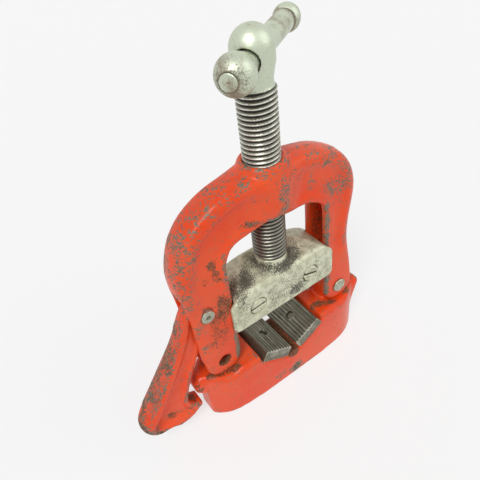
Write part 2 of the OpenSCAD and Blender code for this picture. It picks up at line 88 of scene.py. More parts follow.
class ViseMetalSettings(PropertyGroup):
    """Bare metal surfaces."""

    steel: colour_setting("Steel", "Colour of handled steel", (0.57, 0.62, 0.49))
    tarnish: colour_setting("Tarnish", "Colour of the brown film on steel", (0.27, 0.215, 0.15))
    soil: colour_setting("Soil", "Colour of dirt round joints in steel", (0.085, 0.06, 0.036))
    thread: colour_setting("Thread", "Colour of the thread's flanks", (0.24, 0.24, 0.20))
    # The grease colour also paints shade in the thread's roots and the jaws' grooves.
    grease: colour_setting("Grease", "Colour of old grease", (0.020, 0.017, 0.012))
    # The crest colour is partly rubbed steel and partly a painted highlight.
    crest: colour_setting("Thread crests", "Colour of the thread's rubbed crests", (0.70, 0.71, 0.62))
    casting: colour_setting("Bare casting", "Colour of the jaw holder", (0.66, 0.68, 0.50))
    dull_casting: colour_setting("Dull casting", "Colour of its duller parts", (0.47, 0.475, 0.33))
    oil: colour_setting("Oil", "Colour of old oil on the jaw holder", (0.10, 0.085, 0.05))
    hardened: colour_setting("Hardened steel", "Colour of the jaws", (0.165, 0.158, 0.115))
    scale: colour_setting("Scale", "Colour of the brown scale on the jaws", (0.085, 0.055, 0.028))
    # The ridge colour is partly rubbed steel and partly a painted highlight.
    ridge: colour_setting("Rubbed ridges", "Colour of the jaws' rubbed ridges", (0.50, 0.49, 0.40))


class ViseShapeSettings(PropertyGroup):
    """Sizes of what the solids leave out."""

    casting_grid: length_setting("Casting grid", "Grid that rounds a casting's edges", 0.95)
    fine_grid: length_setting("Fine grid", "Grid that rounds a machined edge", 0.42)
    pitch: length_setting("Pitch", "Pitch of the screw thread", 2.822)
    thread_depth: length_setting("Thread depth", "Depth of the screw thread", 1.5)
    thread_crest: length_setting("Thread crest", "Radius of the thread's crest", 11.1)
    thread_bottom: length_setting("Thread start", "Height of the thread's lower end", 119.8)
    thread_top: length_setting("Thread end", "Height of the thread's upper end", 231)
    turn_steps: IntProperty(name="Steps", description="Steps to a turn of the thread", default=56)
    slot_width: length_setting("Slot width", "Slot of the cross screws", 1.9)
    slot_depth: length_setting("Slot depth", "Depth of that slot", 1.5)
    seam: length_setting("Seam", "Dark gap round a screw head or the bar", 0.65)


class ViseStageSettings(PropertyGroup):
    """Floor, light and camera."""

    floor: colour_setting("Floor", "Colour of the floor", (0.90, 0.90, 0.90))
    backdrop: colour_setting("Backdrop", "Colour behind the floor", (0.955, 0.955, 0.955))
    even: FloatProperty(name="Even floor", description="Share of the floor that shadows don't reach", default=0.7)
    ambient: FloatProperty(name="Ambient", description="Strength of the light all round", default=0.42)
    key: FloatProperty(name="Key light", description="Strength of the main light", default=1.75)
    fill: FloatProperty(name="Fill light", description="Strength of the second light", default=0.45)


# Materials


class Value:
    """A number that varies over a surface; arithmetic on it adds Math nodes."""

    def __init__(self, finish, socket):
        self.finish = finish
        self.socket = socket

    def math(self, operation, a, b):
        made = self.finish.node("Math", {"operation": operation}, {0: a, 1: b})
        return Value(self.finish, made.outputs[0])

    def __add__(self, other):
        return self.math("ADD", self, other)

    def __radd__(self, other):
        return self.math("ADD", other, self)

    def __sub__(self, other):
        return self.math("SUBTRACT", self, other)

    def __rsub__(self, other):
        return self.math("SUBTRACT", other, self)

    def __mul__(self, other):
        return self.math("MULTIPLY", self, other)

    def __or__(self, other):
        return self.math("MAXIMUM", self, other)

    def step(self, low, high):
        """0 below low, 1 above high, smooth between; low above high turns it round."""
        made = self.finish.node(
            "MapRange",
            {"interpolation_type": "SMOOTHSTEP"},
            {"Value": self, "From Min": min(low, high), "From Max": max(low, high),
             "To Min": 0.0 if low < high else 1.0, "To Max": 1.0 if low < high else 0.0},
        )
        return Value(self.finish, made.outputs[0])


class Finish:
    """Nodes of one material, or of the world."""

    def __init__(self, owner):
        owner.use_nodes = True
        self.owner = owner
        self.tree = owner.node_tree
        self.tree.nodes.clear()
        self.coords = None

    def node(self, kind, settings=None, inputs=None):
        made = self.tree.nodes.new("ShaderNode" + kind)
        for key, value in (settings or {}).items():
            setattr(made, key, value)
        for key, value in (inputs or {}).items():
            if isinstance(value, Value):
                self.tree.links.new(value.socket, made.inputs[key])
            elif isinstance(value, bpy.types.NodeSocket):
                self.tree.links.new(value, made.inputs[key])
            else:
                made.inputs[key].default_value = value
        return made

    @property
    def place(self):
        if self.coords is None:
            self.coords = self.node("TexCoord").outputs["Object"]
        return self.coords

    def noise(self, size, detail=4.0, roughness=0.6, stretch=None):
        """Noise whose features are about size metres across."""
        place = self.place
        if stretch:
            place = self.node("Mapping", None, {"Vector": place, "Scale": stretch}).outputs[0]
        made = self.node(
            "TexNoise", None, {"Vector": place, "Scale": 1 / size, "Detail": detail, "Roughness": roughness}
        )
        return Value(self, made.outputs[0])

    def attribute(self, name):
        return Value(self, self.node("Attribute", {"attribute_name": name}).outputs["Fac"])

    def from_axis(self):
        """Distance from the screw's axis."""
        flat = self.node("VectorMath", {"operation": "MULTIPLY"}, {0: self.place, 1: (1, 1, 0)})
        far = self.node("VectorMath", {"operation": "LENGTH"}, {0: flat.outputs[0]})
        return Value(self, far.outputs["Value"])

    def height(self):
        """Height above the bench, at rest."""
        return Value(self, self.node("SeparateXYZ", None, {0: self.place}).outputs[2])

    def in_sight(self):
        """1 for what the camera sees, straight or mirrored, and 0 for what only gives light."""
        path = self.node("LightPath")
        camera, glossy, through = (
            Value(self, path.outputs[f"Is {kind} Ray"]) for kind in ("Camera", "Glossy", "Transmission")
        )
        return camera | glossy | through

    def mix(self, factor, a, b):
        return self.node("Mix", {"data_type": "RGBA"}, {0: factor, 6: a, 7: b}).outputs[2]

    def bump(self, height, distance, strength=1.0, under=None):
        inputs = {"Height": height, "Distance": distance, "Strength": strength}
        if under is not None:
            inputs["Normal"] = under
        return self.node("Bump", None, inputs).outputs[0]

    def principled(self, **sockets):
        """Principled shader with these sockets, underscores standing for blanks."""
        return self.node("BsdfPrincipled", None, {key.replace("_", " "): value for key, value in sockets.items()})

    def done(self, shader, output="OutputMaterial"):
        self.node(output, None, {"Surface": shader.outputs[0]})
        return self.owner


def worn_enamel(settings):
    """Enamel over cast iron, flecked where it is worn, dirty where its stain marks lie, and darkened with painted
    shade in its hollows and under the marks that stand for shade.
    """
    f = Finish(bpy.data.materials.new("worn_enamel"))
    edge, rim, worn, stain_and_shade = (f.attribute(name) for name in ("edge", "rim", "worn", "stain_and_shade"))
    grain = f.noise(1.5 * MM, 6.0, 0.66, stretch=(0.75, 0.75, 1.5))
    patch = f.noise(8 * MM, 4.0, 0.6)
    cloud = f.noise(34 * MM, 2.0, 0.5)
    smear = f.noise(1.4 * MM, 5.0, 0.7)
    amount = worn + rim.step(0.05, 0.7) * 0.16 + edge.step(0.3, 1.0) * 0.2 + (patch - 0.5) * 2.4
    bare = (grain + (amount + 0.3 * settings.wear) * 0.17).step(0.655, 0.685)
    # Grime and painted shade: the stain layer holds real stains and also painted shade in holes, slots, seams and the
    # hook's mouth, and hollows are darkened too; dirt and soil below carry both.
    stain_and_hollow_shade = stain_and_shade | edge.step(-0.25, -0.9) * 0.6
    dirt = (stain_and_hollow_shade * 1.15 + (smear - 0.5) * 3.0 + (patch - 0.5) * 2.0).step(0.42, 1.2)
    enamel = f.mix((cloud * 0.7 + patch * 0.3).step(0.38, 0.62), settings.enamel, settings.faded)
    metal = f.mix(f.noise(1.6 * MM, 3.0).step(0.5, 0.68) * 0.75, settings.iron, settings.rust)
    soil = f.mix(f.noise(1.5 * MM, 4.0, 0.65).step(0.42, 0.6), settings.rust, settings.grime_and_shade)
    colour = f.mix(dirt * 0.9, f.mix(bare, enamel, metal), soil)
    normal = f.bump(f.noise(3.4 * MM, 3.0, 0.55), 0.35 * MM, 0.4)
    normal = f.bump(bare * -0.6 + f.noise(1.2 * MM, 3.0, 0.6), 0.16 * MM, 0.6, normal)
    return f.done(f.principled(
        Base_Color=colour,
        Roughness=0.2 + patch * 0.14 + grain * 0.06 + bare * 0.2 + dirt * 0.3,
        Metallic=bare * 0.45 * (1 - dirt),
        Specular_IOR_Level=0.3,
        Normal=normal,
    ))


def handled_steel(name, settings, film):
    """Bright steel with a brown film, pitted, dirty in corners and where its stain marks lie."""
    f = Finish(bpy.data.materials.new(name))
    edge, stain_and_shade = f.attribute("edge"), f.attribute("stain_and_shade")
    haze = f.noise(11 * MM, 3.0, 0.55)
    fine = f.noise(0.9 * MM, 3.0, 0.6)
    pits = f.noise(0.75 * MM, 2.0, 0.6).step(0.64, 0.70)
    dull = (haze + (fine - 0.5) * 0.4).step(0.72 - 0.3 * film, 1.02 - 0.3 * film)
    grime_and_shade = (stain_and_shade + edge.step(-0.1, -0.7) * 0.6 + (fine - 0.5) * 1.4).step(0.25, 0.85)
    colour = f.mix(dull * 0.8, settings.steel, settings.tarnish)
    colour = f.mix(pits * 0.55, colour, settings.tarnish)
    colour = f.mix(grime_and_shade * 0.85, colour, f.mix(haze.step(0.4, 0.6), settings.soil, settings.tarnish))
    return f.done(f.principled(
        Base_Color=colour,
        Roughness=0.34 + dull * 0.16 + fine * 0.1 + grime_and_shade * 0.2,
        Metallic=0.9 - grime_and_shade * 0.5,
        Normal=f.bump(f.noise(1.8 * MM, 3.0, 0.6) - pits * 0.6, 0.07 * MM, 0.5),
    ))


def threaded_steel(settings, root, crest):
    """Thread with bright crests, partly rubbed and partly a painted highlight, dark flanks, and grease and painted
    shade in its roots, the grease most below the crown.
    """
    f = Finish(bpy.data.materials.new("threaded_steel"))
    haze = f.noise(7 * MM, 4.0, 0.6)
    fine = f.noise(0.8 * MM, 3.0, 0.6)
    low = (f.height() + (haze - 0.5) * 0.02).step(GREASE_STARTS, GREASE_FULL)
    out = (f.from_axis() - root) * (1 / (crest - root)) + (haze - 0.5) * 0.5 - low * 0.3
    # Painted shade: the roots darken towards the grease colour, standing for grease and for shade.
    deep = out.step(0.62, 0.08)
    # Painted highlight: the crests lighten towards the crest colour, partly as rubbed steel and partly as a highlight.
    shine = (out + (fine - 0.5) * 0.6).step(0.78, 0.98)
    colour = f.mix(shine, f.mix(fine.step(0.4, 0.65) * 0.5, settings.thread, settings.tarnish), settings.crest)
    return f.done(f.principled(
        Base_Color=f.mix(deep * 0.93, colour, settings.grease),
        Roughness=0.30 + deep * 0.3 + fine * 0.1,
        Metallic=0.92 - deep * 0.6,
        Normal=f.bump(fine, 0.05 * MM, 0.5),
    ))


def greasy_casting(settings):
    """Bare pale casting, peppered with black grease."""
    f = Finish(bpy.data.materials.new("greasy_casting"))
    edge, rim, stain_and_shade = (f.attribute(name) for name in ("edge", "rim", "stain_and_shade"))
    speck = f.noise(0.8 * MM, 4.0, 0.7, stretch=(1.3, 1.3, 0.7))
    patch = f.noise(9 * MM, 4.0, 0.62)
    dirty = stain_and_shade + (patch - 0.5) * 1.5 + edge.step(-0.15, -0.8) * 0.5 - rim.step(0.1, 0.8) * 0.4
    specks = (speck + dirty * 0.17).step(0.54, 0.615)
    film = dirty.step(0.45, 1.5)
    pale = f.mix(f.noise(4 * MM, 4.0).step(0.36, 0.64), settings.casting, settings.dull_casting)
    colour = f.mix(specks * 0.85, f.mix(film * 0.7, pale, settings.oil), settings.grease)
    normal = f.bump(f.noise(2.4 * MM, 4.0, 0.6) - specks * 0.2, 0.3 * MM, 0.5)
    return f.done(f.principled(
        Base_Color=colour,
        Roughness=0.34 + specks * 0.25 + speck * 0.1,
        Metallic=0.3 - specks * 0.25,
        Normal=normal,
    ))


def hardened_steel(settings):
    """Dark oiled steel, bright on the ridges, partly rubbed and partly a painted highlight, and darkened in the
    grooves with grease and painted shade.
    """
    f = Finish(bpy.data.materials.new("hardened_steel"))
    edge, worn = f.attribute("edge"), f.attribute("worn")
    streak = f.noise(2.2 * MM, 4.0, 0.6, stretch=(1, 0.16, 1))
    patch = f.noise(8 * MM, 3.0, 0.6)
    # Painted highlight: convex ridges lighten towards the ridge colour, partly as rubbed steel and partly as a
    # highlight.
    bright = (edge + worn + (streak - 0.5) * 1.6).step(0.12, 0.9)
    # Painted shade: the grooves darken towards the grease colour, standing for grease and for shade.
    deep = (edge * -1.0 + (patch - 0.5) * 0.8).step(0.10, 0.6)
    colour = f.mix(patch.step(0.55, 0.72) * 0.5, settings.hardened, settings.scale)
    colour = f.mix(bright * 0.85, colour, settings.ridge)
    return f.done(f.principled(
        Base_Color=f.mix(deep * 0.9, colour, settings.grease),
        Roughness=0.36 + patch * 0.15 + deep * 0.25,
        Metallic=0.8 - deep * 0.5,
        Normal=f.bump(streak, 0.1 * MM, 0.5),
    ))


# Shapes


def smoothed(points, links, times):
    """Points drawn towards their neighbours this many times."""
    count = np.bincount(links.ravel(), minlength=len(points))[:, None]
    for _ in range(times):
        drawn = np.stack(
            [np.bincount(links[:, 0], points[links[:, 1], k], len(points))
             + np.bincount(links[:, 1], points[links[:, 0], k], len(points)) for k in range(3)], axis=1)
        points = 0.5 * points + 0.5 * drawn / np.maximum(count, 1)
    return points


def marked(points, normals, marks):
    """Strongest of the marks at each point."""
    total = np.zeros(len(points))
    for start, end, radius, amount, *centre in marks:
        start, end = np.array(start) * MM, np.array(end) * MM
        line = end - start
        share = np.clip((points - start) @ line / max(line @ line, MM * MM), 0, 1)
        far = np.linalg.norm(points - start - share[:, None] * line, axis=1) / (radius * MM)
        near = np.clip(1.45 * (1 - far), 0, 1)
        mark = amount * near * near * (3 - 2 * near)
        if centre:
            away = (points - np.array(centre[0]) * MM) * (1, 0, 1)
            away /= np.linalg.norm(away, axis=1)[:, None]
            mark *= np.clip(1.6 * (normals * away).sum(1) - 0.35, 0, 1)
        total = np.maximum(total, mark)
    return total


def add_wear(mesh, near, wide, worn, stain_and_shade_marks):
    """Stores how far each point stands proud of its surroundings, close by and further round, and the marks."""
    points, normals = (np.empty(len(mesh.vertices) * 3) for _ in range(2))
    mesh.vertices.foreach_get("co", points)
    mesh.vertices.foreach_get("normal", normals)
    points, normals = points.reshape(-1, 3), normals.reshape(-1, 3)
    links = np.empty(len(mesh.edges) * 2, dtype=np.int32)
    mesh.edges.foreach_get("vertices", links)
    links = links.reshape(-1, 2)
    size = np.median(np.linalg.norm(points[links[:, 0]] - points[links[:, 1]], axis=1))
    # The stain layer holds real stains and also marks that paint shade.
    layers = {"worn": marked(points, normals, worn), "stain_and_shade": marked(points, normals, stain_and_shade_marks)}
    for name, times, unit in (("edge", near, 0.42 * size), ("rim", wide, 0.8 * size)):
        proud = ((points - smoothed(points, links, times)) * normals).sum(1) / unit
        layers[name] = np.clip(proud, -1, 1)
    for name, values in layers.items():
        mesh.attributes.new(name, "FLOAT", "POINT").data.foreach_set("value", values.astype(np.float32))


def settle(piece, material, body, nodes):
    """Puts a finished piece into the scene, riding on its body in place of its solids."""
    if not len(piece.data.polygons):
        raise RuntimeError(f"{piece.name} came out empty")
    piece.data.polygons.foreach_set("use_smooth", [True] * len(piece.data.polygons))
    piece.data.materials.append(material)
    bpy.context.scene.collection.objects.link(piece)
    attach(piece, body)
    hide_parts(*nodes)


def solid_copy(node):
    """bmesh of a solid, its loose triangles merged."""
    bm = bmesh.new()
    bm.from_mesh(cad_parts[node].data)
    bmesh.ops.remove_doubles(bm, verts=bm.verts, dist=0.002 * MM)
    return bm


def cut_above(bm, height, up):
    """Drops what lies above a height, or below it where up is -1, and closes the cut."""
    bmesh.ops.bisect_plane(bm, geom=bm.verts[:] + bm.edges[:] + bm.faces[:], plane_co=(0, 0, height),
                           plane_no=(0, 0, up), clear_outer=True, dist=0.001 * MM)
    bmesh.ops.holes_fill(bm, edges=[e for e in bm.edges if e.is_boundary], sides=0)


def smooth(bm, verts, rounds):
    """Draws points towards their neighbours, so many rounds."""
    for _ in range(rounds):
        bmesh.ops.smooth_vert(bm, verts=verts, factor=0.5, use_axis_x=True, use_axis_y=True, use_axis_z=True)


def regrid(bm, grid, rounds, cutters):
    """Even grid of quads over a closed bmesh, less the cutters, its edges rounded by so many smoothings."""
    rough = bpy.data.objects.new("rough", bpy.data.meshes.new("rough"))
    bm.to_mesh(rough.data)
    bm.free()
    bpy.context.scene.collection.objects.link(rough)
    tools = []
    for k, cutter in enumerate(cutters):
        tool = bpy.data.objects.new(f"cutter{k}", bpy.data.meshes.new(f"cutter{k}"))
        cutter.to_mesh(tool.data)
        cutter.free()
        bpy.context.scene.collection.objects.link(tool)
        cut = rough.modifiers.new(f"cut{k}", "BOOLEAN")
        cut.operation, cut.solver, cut.object = "DIFFERENCE", "EXACT", tool
        tools.append(tool)
    again = rough.modifiers.new("grid", "REMESH")
    again.mode, again.voxel_size = "VOXEL", grid
    made = bpy.data.meshes.new_from_object(rough.evaluated_get(bpy.context.evaluated_depsgraph_get()))
    for used in [rough, *tools]:
        mesh = used.data
        bpy.data.objects.remove(used)
        bpy.data.meshes.remove(mesh)
    bm = bmesh.new()
    bm.from_mesh(made)
    bpy.data.meshes.remove(made)
    smooth(bm, bm.verts, rounds)
    bm.normal_update()
    return bm


def rounded_piece(name, bm, grid, rounds, material, body, nodes, cutters=(), near=8, wide=70,
                  worn=(), stain_and_shade_marks=(), shape=None):
    """Piece with softened edges and its wear, made from a closed bmesh; shape works on its grid."""
    mesh = bpy.data.meshes.new(name)
    made = regrid(bm, grid, rounds, cutters)
    if shape:
        shape(made)
    made.to_mesh(mesh)
    made.free()
    add_wear(mesh, near, wide, worn, stain_and_shade_marks)
    settle(bpy.data.objects.new(name, mesh), material, body, nodes)


def rod(radius, length, along, centre):
    """Closed cylinder along a direction."""
    bm = bmesh.new()
    turn = Vector(along).to_track_quat("Z", "Y").to_matrix().to_4x4()
    bmesh.ops.create_cone(bm, cap_ends=True, segments=64, radius1=radius, radius2=radius, depth=length,
                          matrix=Matrix.Translation(centre) @ turn)
    return bm


def add_bead(bm, path, radius, step):
    """Round bead along a path of points, as a row of balls for the grid to join."""
    for start, end in zip(path, path[1:]):
        start, end = Vector(start) * MM, Vector(end) * MM
        count = math.ceil((end - start).length / step)
        for k in range(count + 1):
            bmesh.ops.create_icosphere(bm, subdivisions=2, radius=radius,
                                       matrix=Matrix.Translation(start.lerp(end, k / count)))


def middle(node):
    """Middle of a solid's box."""
    low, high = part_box(node)
    return (low + high) / 2


# Marks: start, end and radius in millimetres, amount, and perhaps a centre that the mark faces away from


YOKE_WORN = (
    ((-69, 2, 146), (-63, 0, 161), 17, 0.58), ((-63, 0, 161), (-45, -2, 178), 16, 0.56),
    ((-45, -2, 178), (-18, -3, 187), 14, 0.44), ((-66, -8, 152), (-67, -10, 141), 12, 0.48),
    ((-67, -9, 138), (-68, -8, 116), 9, 0.38), ((-56, -8, 168), (-60, -9, 160), 11, 0.44),
    ((4, -16, 180), (1, -17, 160), 7, 0.75), ((-12, -8, 189), (9, -13, 184), 8, 0.55),
    ((28, -9, 162), (28, -9, 163), 6, 0.75), ((42, -9, 153), (56, -10, 148), 9, 0.80),
    ((51, -10, 158), (51, -9, 140), 9, 0.45), ((31, -9, 181), (54, -8, 170), 11, 0.48),
    ((36, 4, 182), (30, 6, 184), 10, 0.5), ((57, -10, 162), (60, -10, 150), 9, 0.5),
    ((62, -11, 116), (59, -11, 100), 6, 0.55), ((40, -11.5, 143), (40.3, -11.5, 56), 3.2, 1.15),
    ((-40, -11.5, 148), (-41, -11.5, 112), 2.8, 0.8), ((-53, -11.5, 82), (-53, -11.5, 82), 11, 0.34),
    ((-61, -11.5, 84), (-61, -11.5, 84), 6, 0.36), ((-65, -11.3, 82), (-65, -11.3, 82), 3.4, 1.0),
    ((-60.6, -10.5, 114), (-61, -10.5, 113), 4, 0.6), ((-65, -11, 101), (-65, -11, 98), 4.5, 0.5),
    ((-40.5, -11.5, 86), (-41.5, -11, 52), 3.6, 1.25), ((-22, -10, 159), (-5, -12.5, 156), 3, 0.6),
    ((-58, 9, 160), (-38, 9, 173), 13, 0.55), ((50, 9, 160), (57, 10, 144), 10, 0.55),
    ((-53, 11.5, 84), (-54, 11.5, 92), 11, 0.36), ((6, 16, 178), (2, 17, 162), 7, 0.6),
)
YOKE_STAIN_AND_SHADE = (
    ((-44.5, -10, 113), (-47, -10.5, 98), 7.5, 0.9), ((-50, -10.5, 97), (-53, -11.5, 80), 12, 0.72),
    ((-48.8, -9.3, 144), (-48, -9.3, 141), 4.6, 1.0), ((-46.5, -9.3, 136), (-46, -9.3, 132), 5, 0.8),
    ((-54, -9.3, 134), (-54, -9.3, 133), 4.4, 0.75), ((-25, -10, 160), (-15, -11.5, 157.5), 4, 0.6),
    # Painted shade: the last mark on this line darkens the inside of the right leg's channel, the two on the next line
    # the empty hole in the left leg, and on the line after, the first darkens the latch's slot and the second paints a
    # shadow line along the left foot's lower edge.
    ((47, 6.2, 136), (48, 6.2, 100), 9, 0.55), ((39.3, -7, 130), (39.3, -7, 104), 4, 0.7),
    ((-53, -2, 58), (-53, 2, 60), 9.5, 2.5), ((-53, -10.6, 58), (-53, 10.6, 58), 6.2, 4.5),
    ((-70, -3, 126), (-72, 3, 127), 5, 0.9), ((-46, -11, 46.5), (-62, -11, 48), 3, 0.8),
    ((-58, -11, 107), (-58, -10, 107), 6.4, 2.4), ((53, -11.5, 58), (53, -11.5, 58), 7, 0.8),
    ((45, 10, 112), (49, 10.5, 92), 8, 0.75), ((-46, 9.5, 138), (-47, 9.5, 130), 6, 0.7),
    ((53, 11.5, 58), (53, 11.5, 58), 7, 0.8),
)
BASE_WORN = (
    ((3, -19.4, 8), (-1, -19.4, 6.5), 7, 1.2), ((-12, -19.4, 11), (-14, -19.4, 10), 7, 0.7),
    ((-55, -16, 22), (-55, -16, 22), 4, 0.5), ((32, -19, 34), (32, -19, 34), 2.6, 1.0),
    ((-60, -15, 2), (20, -19, 2), 3, 0.25), ((77, -4, 45), (74, 4, 46), 6, 0.30),
)
BASE_STAIN_AND_SHADE = (
    # Grime and painted contact shadow: the marks along the feet's seats on this line and the first on the next; the
    # last on the next line darkens the trough between the jaws under the holder with rust and painted shade.
    ((-66, -8, 46.5), (-45, -13, 45), 4.4, 1.0), ((30, -7, 46.5), (43, -12, 46), 5, 0.85),
    ((43, -12, 46), (63, -11, 46), 4.5, 0.9), ((0, -17, 29), (0, 17, 29), 9, 2.0),
    ((-75, -4, 43), (-74, -7, 37), 5, 0.6), ((2, -19.4, 7.5), (0, -19.4, 7), 6, 0.55),
    ((-46, 0, 46), (-60, 0, 45), 12, 0.6),
)
LATCH_HEART = (-45, 0, 50)
LATCH_WORN = (
    ((-66, 0, 112), (-77, 0, 96), 16, 0.60, LATCH_HEART), ((-77, 0, 96), (-100, 0, 58), 20, 0.70, LATCH_HEART),
    ((-100, 0, 58), (-117, 0, 34), 20, 0.85, LATCH_HEART), ((-117, 0, 32), (-100, 0, 15), 20, 0.95, LATCH_HEART),
    ((-86, -5, 22), (-78, -4, 19), 4, 0.4),
    ((-119, -6, 32), (-111, -9, 20), 9, 0.95), ((-107, -10, 18), (-90, -8, 14.5), 4, 0.6),
    ((-78, -6.8, 60), (-87, -6.8, 35), 2.6, 0.7), ((-86, -6.8, 28), (-78, -6.8, 19.6), 2.4, 0.7),
)
LATCH_STAIN_AND_SHADE = (
    ((-119, 0, 36), (-106, 0, 17), 18, 0.85, LATCH_HEART), ((-80, 0, 92), (-112, 0, 44), 14, 0.5, LATCH_HEART),
    ((-98, -4.8, 28), (-98, -4.8, 27), 5.5, 0.62), ((-118, -4, 26), (-110, -9, 18), 9, 0.8),
    # Painted shade: the first mark on this line darkens the inside of the hook's mouth, the second paints the shadow
    # round the hub in the leg's slot.
    ((-80, 0, 25), (-84, 0, 34), 7, 0.95), ((-62, -5.8, 101), (-66, -5.8, 96), 8, 0.5),
)
HOLDER_STAIN = (
    ((-36, -8, 110), (-24, -4, 113), 10, 0.95), ((-36, -13, 107), (-30, -12, 110), 6, 0.7),
    ((-11, -6, 116), (0, -13, 112), 7, 0.9), ((0, -13, 112), (16, -5, 112), 7, 0.9),
    ((-12, 2, 117), (-11, -6, 116), 7, 0.6), ((8, -14.6, 88), (24, -14.6, 92), 8, 0.65),
    ((-22, 3, 115), (-14, 0, 117), 7, 0.35), ((-43, -13, 92), (-43, -13, 84), 5, 0.5),
)


# Operators


LATCH_RIM = (  # X and Z along the latch's inner edge and round its hook
    (-76.4, 64), (-81, 53), (-83.8, 45.6), (-85.2, 40), (-87, 34), (-85.8, 27.4), (-81.8, 22), (-77.6, 19.4),
)
RIM_SIDES = (-4.7, 4.7)
RIM_RADIUS, RIM_STEP = 2.2 * MM, 0.8 * MM
TIP_HEART, TIP_OUT = Vector((-107.5, 0, 30)) * MM, Vector((-0.85, 0, -0.53))
TIP_RADIUS, TIP_HALF_WIDTH, TIP_BLEND = 13.5 * MM, 12 * MM, 8 * MM
FLANGE_POINT, FLANGE_OUT = Vector((-77, 0, 96)) * MM, Vector((-0.84, 0, 0.542))
FLANGE_DEPTH = 11 * MM
WEB_LOW = 100 * MM


class VISE_OT_red_castings(Operator):
    """Base, yoke and latch with rounded edges and worn enamel"""

    bl_idname = "vise.red_castings"
    bl_label = "Red castings"

    def soften_web(self, bm):
        """Runs the yoke's dished web into its rim without a crease."""
        smooth(bm, [v for v in bm.verts if v.co.z > WEB_LOW and abs(v.normal.y) > 0.7], 14)

    def round_latch(self, bm):
        """Gives the latch's lower end the form of a ball, and its flange soft edges."""
        near = []
        for v in bm.verts:
            way = v.co - TIP_HEART
            share = min(1, way.dot(TIP_OUT) / TIP_BLEND + 0.25)
            far = Vector((way.x / TIP_RADIUS, way.y / TIP_HALF_WIDTH, way.z / TIP_RADIUS)).length
            if share > 0:
                near.append(v)
                if far > 1 or far > 0.7 and v.normal.dot(way.normalized()) > 0.6:
                    v.co += way * (1 / far - 1) * share
        smooth(bm, near, 8)
        flange = [v for v in bm.verts
                  if v.co.z < FLANGE_POINT.z and (v.co - FLANGE_POINT).dot(FLANGE_OUT) > -FLANGE_DEPTH]
        smooth(bm, flange, 10)
        bm.normal_update()

    def execute(self, context):
        enamel = worn_enamel(context.scene.vise_paint)
        grid = context.scene.vise_shape.casting_grid
        latch = solid_copy("latch")
        for y in RIM_SIDES:
            add_bead(latch, [(x, y, z) for x, z in LATCH_RIM], RIM_RADIUS, RIM_STEP)
        for node, bm, cell, rounds, worn, stain_and_shade_marks, shape in (
            ("yoke", solid_copy("yoke"), grid, 3, YOKE_WORN, YOKE_STAIN_AND_SHADE, self.soften_web),
            ("base", solid_copy("base"), grid, 6, BASE_WORN, BASE_STAIN_AND_SHADE, None),
            ("latch", latch, 0.75 * grid, 3, LATCH_WORN, LATCH_STAIN_AND_SHADE, self.round_latch),
        ):
            rounded_piece(node + "_casting", bm, cell, rounds, enamel, node + "_body", [node],
                          worn=worn, stain_and_shade_marks=stain_and_shade_marks, shape=shape)
        return {"FINISHED"}


class VISE_OT_jaw_holder(Operator):
    """Jaw holder as a bare casting, with its slotted cross screws"""

    bl_idname = "vise.jaw_holder"
    bl_label = "Jaw holder"

    def cross_screw(self, node, turn, shape, skin):
        """Slotted screw, its slot turned by an angle, slimmer than its hole by a seam."""
        low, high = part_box(node)
        centre, width = middle(node), high.x - low.x
        slot = bmesh.new()
        bmesh.ops.create_cube(slot, size=1.0)
        bmesh.ops.scale(slot, vec=(2 * width, 2 * shape.slot_depth, shape.slot_width), verts=slot.verts)
        bmesh.ops.rotate(slot, cent=(0, 0, 0), matrix=Matrix.Rotation(turn, 3, "Y"), verts=slot.verts)
        bmesh.ops.translate(slot, vec=(centre.x, low.y, centre.z), verts=slot.verts)
        screw = solid_copy(node)
        slim = 1 - 2 * shape.seam / width
        bmesh.ops.scale(screw, vec=(slim, 1, slim), space=Matrix.Translation(-centre), verts=screw.verts)
        run = Vector((math.cos(turn), 0, -math.sin(turn))) * width / 2
        floor = Vector((centre.x, low.y + shape.slot_depth, centre.z))
        # Painted shade: a dark line along the slot's floor, given through the stain layer.
        grime_and_shade = [(tuple((floor - run) / MM), tuple((floor + run) / MM), 1.4, 2.0)]
        rounded_piece(node + "_slotted", screw, shape.fine_grid, 1, skin, "holder_body", [node],
                      [slot], near=5, wide=20, stain_and_shade_marks=grime_and_shade)

    def execute(self, context):
        shape = context.scene.vise_shape
        skin = greasy_casting(context.scene.vise_metal)
        rounded_piece("jaw_holder_casting", solid_copy("jaw_holder"), 0.7 * shape.casting_grid, 3, skin, "holder_body",
                      ["jaw_holder"], stain_and_shade_marks=HOLDER_STAIN)
        for side, degrees in (("left", -4), ("right", 18)):
            self.cross_screw(f"cross_screw_{side}", math.radians(degrees), shape, skin)
        return {"FINISHED"}


class VISE_OT_jaws(Operator):
    """Toothed upper and lower jaws"""

    bl_idname = "vise.jaws"
    bl_label = "Jaws"

    def execute(self, context):
        steel = hardened_steel(context.scene.vise_metal)
        grid = context.scene.vise_shape.fine_grid
        for row, body in (("lower", "base_body"), ("upper", "holder_body")):
            for side, s in (("left", -1), ("right", 1)):
                node = f"{row}_jaw_{side}"
                ends = [((s * 5, -20, 35), (s * 19, -20, 43), 6, 0.4)] if row == "lower" else ()
                rounded_piece(node + "_block", solid_copy(node), grid, 1, steel, body, [node],
                              near=4, wide=30, worn=ends)
        for side in ("left", "right"):
            node = f"lower_jaw_screw_{side}"
            rounded_piece(node + "_head", solid_copy(node), 0.7 * grid, 1, steel, "base_body", [node],
                          near=5, wide=20)
        return {"FINISHED"}


